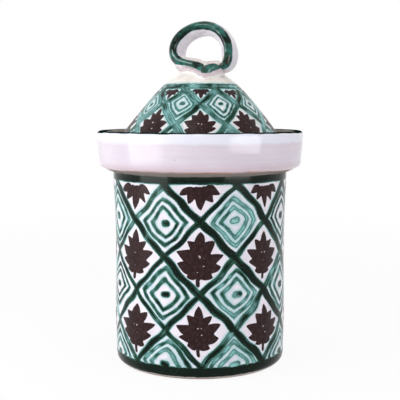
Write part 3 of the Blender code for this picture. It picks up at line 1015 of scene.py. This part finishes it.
def lid():
    """The lid's dome: a cream cap, a band round it and brushwork below."""
    outline, closed = outline_of("lid_dome")
    low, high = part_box("lid_dome")
    rows, shown = dense_outline(outline, closed)
    points, faces, outside = spin(rows, closed, shown)
    angle, radius = round_the_axis(points)
    edge = high.x - EDGE_BAND
    up = climb(lid_slope(outline), radius, edge, CAP_RADIUS + CAP_BAND)
    scale = np.maximum(radius, CAP_RADIUS / 2) / MM * math.tau / LID_LOZENGES
    across = angle / math.tau * LID_LOZENGES
    paint = Brushwork(across, up * LID_ROWS / 2, scale, LID_LOZENGES, SEED + 1)
    paint.trellis((2.5, 2.1), (0.34, 0.74))
    paint.rows([(0.4, 0.8), (0.4, 0.8)])
    paint.clear(radius < CAP_RADIUS)
    paint.band((CAP_BAND / 2 - np.abs(radius - CAP_RADIUS - CAP_BAND / 2)) / MM, 0.54)
    paint.band((radius - edge) / MM, 0.8)
    paint.brown[paint.green > BROWN_STOP] = NO_PAINT
    paint.clear(~outside)
    rng = np.random.default_rng(SEED)
    hand = 0.4 * HAND_RELIEF * (wave(angle + radius / (30 * MM), (2, 3, 5), rng) - 1)
    points[:, 2] += np.where(outside & (radius > SLICE), hand + STROKE_RELIEF * paint.relief(), 0)
    points[:, 0] += LID_LEAN * (points[:, 2] - low.z)
    material = painted("painted lid", LID_WHITE, has_cap=True)
    piece = mesh_piece("painted_lid", points, faces, "lid", ["lid_dome"], material)
    paint.keep(piece)
    store(piece, cap=np.clip((CAP_RADIUS - radius) / CAP_FADE + 0.5, 0, 1))


def lid_slope(outline):
    """The lid's outside from its crown to its widest, as radii and heights."""
    return outline[np.argmax(outline[:, 0]) :][::-1].T


def climb(slope, radius, start, end):
    """0 at the start radius and 1 at the end, in even lozenges up the slope."""
    radii = np.linspace(end / 3, slope[0].max(), 200)
    heights = np.interp(radii, *slope)
    slant = np.hypot(np.diff(radii), np.diff(heights)) / ((radii[1:] + radii[:-1]) / 2)
    run = np.concatenate([[0], np.cumsum(slant)])
    at = np.interp(radius, radii, run)
    low, high = np.interp(start, radii, run), np.interp(end, radii, run)
    return (at - low) / (high - low)


def lid_ring():
    """The locating ring inside the lid."""
    outline, closed = outline_of("lid_flange")
    rows, shown = dense_outline(outline, closed)
    points, faces, _ = spin(rows, closed, shown)
    mesh_piece("locating_ring", points, faces, "lid", ["lid_flange"], ring_glaze())


# The handle


def loop_axes():
    """The loop's own directions: across it, along the strap's width to the back, and up."""
    turn, lean = math.radians(LOOP_YAW), math.radians(LOOP_LEAN)
    across = np.array([math.cos(turn), -math.sin(turn), 0.0])
    back = np.array([math.sin(turn) * math.cos(lean), math.cos(turn) * math.cos(lean), -math.sin(lean)])
    return across, back, np.cross(across, back)


def seen_at(x, y, foot, depth):
    """Where the photograph's pixels meet planes that lie this far behind the loop's foot."""
    pitch = math.radians(CAMERA_PITCH)
    focal = PHOTO_SIDE / 2 / math.tan(math.radians(CAMERA_VIEW) / 2)
    ahead = focal * np.array([0.0, math.cos(pitch), -math.sin(pitch)])
    above = np.array([0.0, math.sin(pitch), math.cos(pitch)])
    rays = np.outer(x - PHOTO_SIDE / 2, [1.0, 0.0, 0.0]) + np.outer(PHOTO_SIDE / 2 - y, above) + ahead
    _, back, _ = loop_axes()
    reach = (depth - (np.array(CAMERA_PLACE) - foot) @ back) / (rays @ back)
    return np.array(CAMERA_PLACE) + rays * reach[:, None]


def strap_ways(points, tip):
    """Directions at each point of the strap: along it, and across its width to the back."""
    _, back, up = loop_axes()
    ways = np.gradient(points, axis=0)
    ways -= np.outer(ways @ back, back)
    ways /= np.linalg.norm(ways, axis=1)[:, None]
    wide = back + np.outer(tip, up)
    wide -= ways * np.sum(wide * ways, axis=1)[:, None]
    wide /= np.linalg.norm(wide, axis=1)[:, None]
    return ways, wide


def sweep(foot, stations, front_oval_share, has_crest):
    """A strap through its stations: its points and faces, how far in millimetres each point lies behind the
    front edge, its place along the strap from 0 to 1, and its place across it from -1, outside, to 1."""
    x, y, front, wide_share, looks_thick, tip, swell = np.array(stations).T
    edge = seen_at(x, y, foot, front * STRAP_WIDTH)
    _, wide = strap_ways(edge, tip)
    middles = edge + wide * (STRAP_WIDTH / 2 * wide_share)[:, None]
    thick_share = looks_thick * PIXEL / STRAP_THICKNESS
    rows = smooth_rows(np.column_stack([middles, wide_share, thick_share, tip, swell]), STRAP_RINGS)
    middles, (wide_share, thick_share, tip, swell) = rows[:, :3], rows[:, 3:].T
    ways, wide = strap_ways(middles, tip)
    thick = np.cross(ways, wide)
    ends = np.linspace(0, math.pi / 2, STRAP_END_RINGS + 1)[1:]
    last = len(middles) - 1
    order = [0] * STRAP_END_RINGS + list(range(last + 1)) + [last] * STRAP_END_RINGS
    squeeze = np.concatenate([np.cos(ends[::-1]), np.ones(last + 1), np.cos(ends)])
    push = np.concatenate([-np.sin(ends[::-1]), np.zeros(last + 1), np.sin(ends)])
    squeeze = np.maximum(squeeze, STRAP_TIP_SHARE)
    turns = np.arange(STRAP_SIDES) * math.tau / STRAP_SIDES
    c, s = np.cos(turns), np.sin(turns)
    power = np.where(c < 0, front_oval_share, BACK_OVAL_SHARE)
    to_back = np.sign(c) * np.abs(c) ** power
    inward = np.sign(s) * np.abs(s) ** power
    belly = np.sin(math.pi / 2 * np.clip((1 + to_back) / 2 / BELLY_SHARE, 0, 1)) ** 1.5
    belly = belly * np.where(s > 0, BELLY_INSIDE, BELLY_OUTSIDE)
    past = inward - CREST_PLACE_SHARE
    fall = np.where(past > 0, past / (1 - CREST_PLACE_SHARE), past / (1 + CREST_PLACE_SHARE)) ** 2
    fall = CREST_RISE - fall * np.where(past > 0, INNER_FALL, OUTER_FALL)
    crest = fall * np.where(c < 0, -to_back, 0) ** 4 * has_crest
    points, behind, along, across_strap = [], [], [], []
    for k, small, reach in zip(order, squeeze, push):
        half_width = STRAP_WIDTH * wide_share[k] / 2
        half_thickness = STRAP_THICKNESS * thick_share[k] / 2
        dent = HAND_RELIEF * np.sin(0.11 * k + 3 * inward) * np.sin(0.043 * k + 1.3) * (c < 0)
        depth = half_width * to_back - (crest * thick_share[k] + dent) * small
        hand = 1 - 0.03 * (1 + np.sin(0.17 * k + 2 * to_back))
        rim = np.outer(inward * (half_thickness + belly * swell[k]) * small * hand, thick[k])
        points.append(middles[k] + ways[k] * reach * half_thickness + np.outer(depth * small, wide[k]) + rim)
        behind.append(half_width * (1 + to_back) / MM)
        along.append(np.full(STRAP_SIDES, k / last))
        across_strap.append(inward)
    number = np.arange(len(points) * STRAP_SIDES).reshape(-1, STRAP_SIDES)
    after = np.roll(number, -1, axis=1)
    quads = np.stack([number[:-1], after[:-1], after[1:], number[1:]], axis=2).reshape(-1, 4)
    faces = [*quads.tolist(), number[0][::-1].tolist(), number[-1].tolist()]
    return np.concatenate(points), faces, *(np.concatenate(kept) for kept in (behind, along, across_strap))


def smooth_rows(stations, steps):
    """A Catmull-Rom curve through the stations."""
    padded = np.concatenate([[2 * stations[0] - stations[1]], stations, [2 * stations[-1] - stations[-2]]])
    t = np.arange(steps)[:, None] / steps
    curve = []
    for before, here, after, beyond in zip(padded, padded[1:], padded[2:], padded[3:]):
        curve.append(bend_between(here, after, (after - before) / 2, (beyond - here) / 2, t))
    return np.concatenate([*curve, stations[-1:]])


def pad(foot):
    """The pad of clay under the strap, as points and faces."""
    form = bmesh.new()
    bmesh.ops.create_uvsphere(form, u_segments=PAD_SIDES, v_segments=PAD_RINGS, radius=1.0)
    points = np.array([v.co for v in form.verts])
    faces = [[v.index for v in f.verts] for f in form.faces]
    form.free()
    across, back, _ = loop_axes()
    level = np.array([-across[1], across[0], 0.0])
    points = points * [PAD_LENGTH / 2, PAD_WIDTH / 2, PAD_RISE + PAD_SINK]
    centre = foot + across * PAD_ACROSS + back * PAD_BACK - [0, 0, PAD_SINK]
    turned = points[:, :1] * across + points[:, 1:2] * level + points[:, 2:] * [0, 0, 1]
    return centre + turned, faces


def crown_plug(slope, lean):
    """The top of the lid's wall, as points and faces, for the handle to grow out of."""
    radii, heights = slope
    near = radii < PLUG_RADIUS
    top = np.stack([radii[near], heights[near] - PLUG_TOP], axis=1)[::-1]
    bottom = np.stack([radii[near], heights[near] - PLUG_BOTTOM], axis=1)
    rows = np.concatenate([bottom, top])
    points, faces, _ = spin(rows, False, np.ones(len(rows), dtype=bool))
    points[:, 0] += lean
    return points, faces


def fused(parts):
    """One smooth skin over overlapping closed forms, with its creases filled as wet clay fills them."""
    points, faces = np.zeros((0, 3)), []
    for more, its_faces in parts:
        faces += [[i + len(points) for i in face] for face in its_faces]
        points = np.concatenate([points, more])
    helper = placed("rough handle", mesh_of("rough handle", points, faces))
    remesh = helper.modifiers.new("skin", "REMESH")
    remesh.mode = "VOXEL"
    remesh.voxel_size = VOXEL
    bpy.context.view_layer.update()
    skin = helper.evaluated_get(bpy.context.evaluated_depsgraph_get()).to_mesh()
    points = np.array([v.co for v in skin.vertices])
    faces = [list(f.vertices) for f in skin.polygons]
    edges = np.array([e.vertices[:] for e in skin.edges])
    bpy.data.objects.remove(helper, do_unlink=True)
    return soften(points, edges, faces), faces, edges


def soften(points, edges, faces):
    """Fills hollow creases and takes the steps off the skin, leaving ridges nearly as they are."""
    quads = np.array([face for face in faces if len(face) == 4])
    for _ in range(SOFTEN_ROUNDS):
        pull = np.stack([neighbours_mean(axis, edges) for axis in points.T], axis=1) - points
        first, second, third, fourth = (points[corner] for corner in quads.T)
        facing = np.cross(third - first, fourth - second).T
        normal = [sum(np.bincount(corner, axis, len(points)) for corner in quads.T) for axis in facing]
        is_hollow = np.sum(pull * np.transpose(normal), axis=1) > 0
        points = points + pull * np.where(is_hollow, HOLLOW_PULL_SHARE, RIDGE_PULL_SHARE)[:, None]
    return points


def handle():
    """The strap, lapped on its pad and its roll of clay, fused to the crown and edged in green."""
    outline, _ = outline_of("lid_dome")
    slope = lid_slope(outline)
    foot = np.array([LOOP_OFFSET, 0.0, outline[:, 1].max()])
    lean = LID_LEAN * (foot[2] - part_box("lid_dome")[0].z)
    strand = sweep(foot, STRAND_STATIONS, FRONT_OVAL_SHARE, True)
    tongue = sweep(foot, TONGUE_STATIONS, BACK_OVAL_SHARE, False)
    roll = sweep(foot, ROLL_STATIONS, FRONT_OVAL_SHARE, False)
    forms = [strand[:2], tongue[:2], roll[:2], pad(foot), crown_plug(slope, lean)]
    for form, _ in forms:
        radius = np.hypot(form[:, 0] - lean, form[:, 1])
        form[:, 2] = np.maximum(form[:, 2], np.interp(radius, *slope) - PLUG_BOTTOM)
    points, faces, edges = fused(forms)
    _, _, behind, along, across = strand
    wrap = OUTER_WRAP * np.exp(-(((along - WRAP_PLACE_SHARE) / WRAP_SPREAD_SHARE) ** 2))
    cover = EDGE_COVER + wrap * np.clip(-2 * across, 0, 1)
    edge = np.where(along < LAP_SHARE, NO_PAINT, cover - behind)
    load = 0.5 + 0.5 * np.sin(31 * along + 0.6) * np.sin(13 * along)
    bare = [np.zeros(len(form)) for form, _ in forms[2:]]
    green = np.concatenate([edge, EDGE_COVER - tongue[2], *(NO_PAINT + form for form in bare)])
    load = np.concatenate([load, 0 * tongue[2], *bare])
    inner = np.concatenate([across, tongue[4], *bare])
    tree = KDTree(len(green))
    for i, point in enumerate(np.concatenate([form for form, _ in forms])):
        tree.insert(point, i)
    tree.balance()
    nearest = np.array([tree.find(point)[1] for point in points])
    radius = np.hypot(points[:, 0] - lean, points[:, 1])
    over = (points[:, 2] - np.interp(radius, *slope)) / MM
    cap = np.clip((CREAM_END - over) / (CREAM_END - CREAM_START), 0, 1)
    nodes = ["handle_loop", "handle_wad"]
    piece = mesh_piece("lid_handle", points, faces, "lid", nodes, handle_glaze())
    kept = (np.maximum(green, -EDGE_DEPTH), load, inner)
    green, load, inner = (even_out(field[nearest], edges, EVEN_ROUNDS) for field in kept)
    store(piece, green=green, load=load, inner=inner, over=over, cap=cap)


# The studio


def is_seen(tree):
    """1 for rays that come straight from the camera, a reflection or a clear pass."""
    path = add_node(tree, "ShaderNodeLightPath", {})
    total = path.outputs["Is Camera Ray"]
    for name in ("Is Glossy Ray", "Is Transmission Ray"):
        inputs = {0: total, 1: path.outputs[name]}
        total = add_node(tree, "ShaderNodeMath", inputs, operation="MAXIMUM").outputs[0]
    return total


def floor():
    """A plain pale floor that keeps the jar's shadow."""
    corners = FLOOR_REACH * np.array([(-1, -1, 0), (1, -1, 0), (1, 1, 0), (-1, 1, 0)])
    mesh = mesh_of("floor", corners, [(0, 1, 2, 3)])
    material = bpy.data.materials.new("floor")
    material.use_nodes = True
    tree = material.node_tree
    shader = tree.nodes["Principled BSDF"]
    inputs = {"Base Color": FLOOR_COLOUR, "Roughness": FLOOR_ROUGHNESS, "Specular IOR Level": 0.0}
    feed(tree, shader, inputs)
    white = add_node(tree, "ShaderNodeEmission", {"Strength": 1.0})
    place = add_node(tree, "ShaderNodeNewGeometry", {}).outputs["Position"]
    distance = add_node(tree, "ShaderNodeVectorMath", {0: place}, operation="LENGTH").outputs["Value"]
    inputs = {"Value": distance, "From Min": FLOOR_NEAR, "From Max": FLOOR_FAR, "To Min": FLOOR_WHITE_SHARE}
    level = add_node(tree, "ShaderNodeMapRange", inputs, interpolation_type="SMOOTHSTEP")
    inputs = {0: is_seen(tree), 1: level.outputs[0]}
    share = add_node(tree, "ShaderNodeMath", inputs, operation="MULTIPLY")
    inputs = {0: share.outputs[0], 1: shader.outputs[0], 2: white.outputs[0]}
    blend = add_node(tree, "ShaderNodeMixShader", inputs)
    feed(tree, tree.nodes["Material Output"], {"Surface": blend.outputs[0]})
    mesh.materials.append(material)
    placed("floor", mesh)


def world():
    """White where it is seen, and a softer white as light."""
    made = bpy.data.worlds.new("studio")
    made.use_nodes = True
    tree = made.node_tree
    inputs = {"Value": is_seen(tree), "To Min": WORLD_LIGHT, "To Max": 1.0}
    strength = add_node(tree, "ShaderNodeMapRange", inputs).outputs[0]
    feed(tree, tree.nodes["Background"], {"Color": (1.0, 1.0, 1.0), "Strength": strength})
    bpy.context.scene.world = made


def soft_box(name, place, aim, size, radiance):
    """A rectangular soft light of an even radiance, facing its aim."""
    light = bpy.data.lights.new(name, "AREA")
    light.shape = "RECTANGLE"
    light.size, light.size_y = size
    light.energy = radiance * math.pi * size[0] * size[1]
    box = placed(name, light)
    box.location = place
    box.rotation_euler = (Vector(place) - Vector(aim)).to_track_quat("Z", "Y").to_euler()
    box.visible_camera = False
    return box


def side_box(name, azimuth, distance, spread, bottom, top, radiance):
    """An upright soft box beside the jar: its azimuth from the front, towards +X, and half its spread."""
    turn = math.radians(azimuth)
    middle = (bottom + top) / 2
    place = (distance * math.sin(turn), -distance * math.cos(turn), middle)
    width = 2 * distance * math.tan(math.radians(spread))
    return soft_box(name, place, (0.0, 0.0, middle), (width, top - bottom), radiance)


def camera():
    """The camera of the photograph."""
    data = bpy.data.cameras.new("camera")
    data.sensor_width = SENSOR_WIDTH
    data.lens = SENSOR_WIDTH / 2 / math.tan(math.radians(CAMERA_VIEW) / 2)
    made = placed("camera", data)
    made.location = CAMERA_PLACE
    made.rotation_euler = (math.radians(90 - CAMERA_PITCH), 0.0, 0.0)
    bpy.context.scene.camera = made


def studio():
    """The floor, the world, lamps that light without a reflection and cards that are only reflected."""
    bpy.context.scene.view_settings.view_transform = "Standard"
    floor()
    world()
    lamps = [
        side_box("left_lamp", -64, 0.55, 23, 0.05, 0.45, 3.0),
        side_box("right_lamp", 38, 0.60, 17, 0.05, 0.35, 2.1),
        soft_box("overhead", (0.0, -0.2, 1.4), (0.0, 0.0, 0.1), (1.2, 1.2), 1.6),
    ]
    cards = [
        side_box("left_window", -59, 0.55, 20, 0.045, 0.20, 6.0),
        side_box("right_window", 47.5, 0.60, 17, 0.075, 0.23, 6.0),
        side_box("left_skylight", -62, 0.55, 18, 0.20, 0.46, 18.0),
        side_box("right_skylight", 49, 0.60, 12, 0.23, 0.40, 14.0),
        soft_box("high_skylight", (-0.25, -0.42, 1.0), (0.0, 0.0, 0.25), (0.3, 0.2), 14.0),
    ]
    for lamp in lamps:
        lamp.visible_glossy = False
        lamp.data.cycles.use_multiple_importance_sampling = False
    for card in cards:
        card.visible_diffuse = False
    camera()


def main():
    pot_body()
    collar()
    lid()
    lid_ring()
    handle()
    studio()


main()
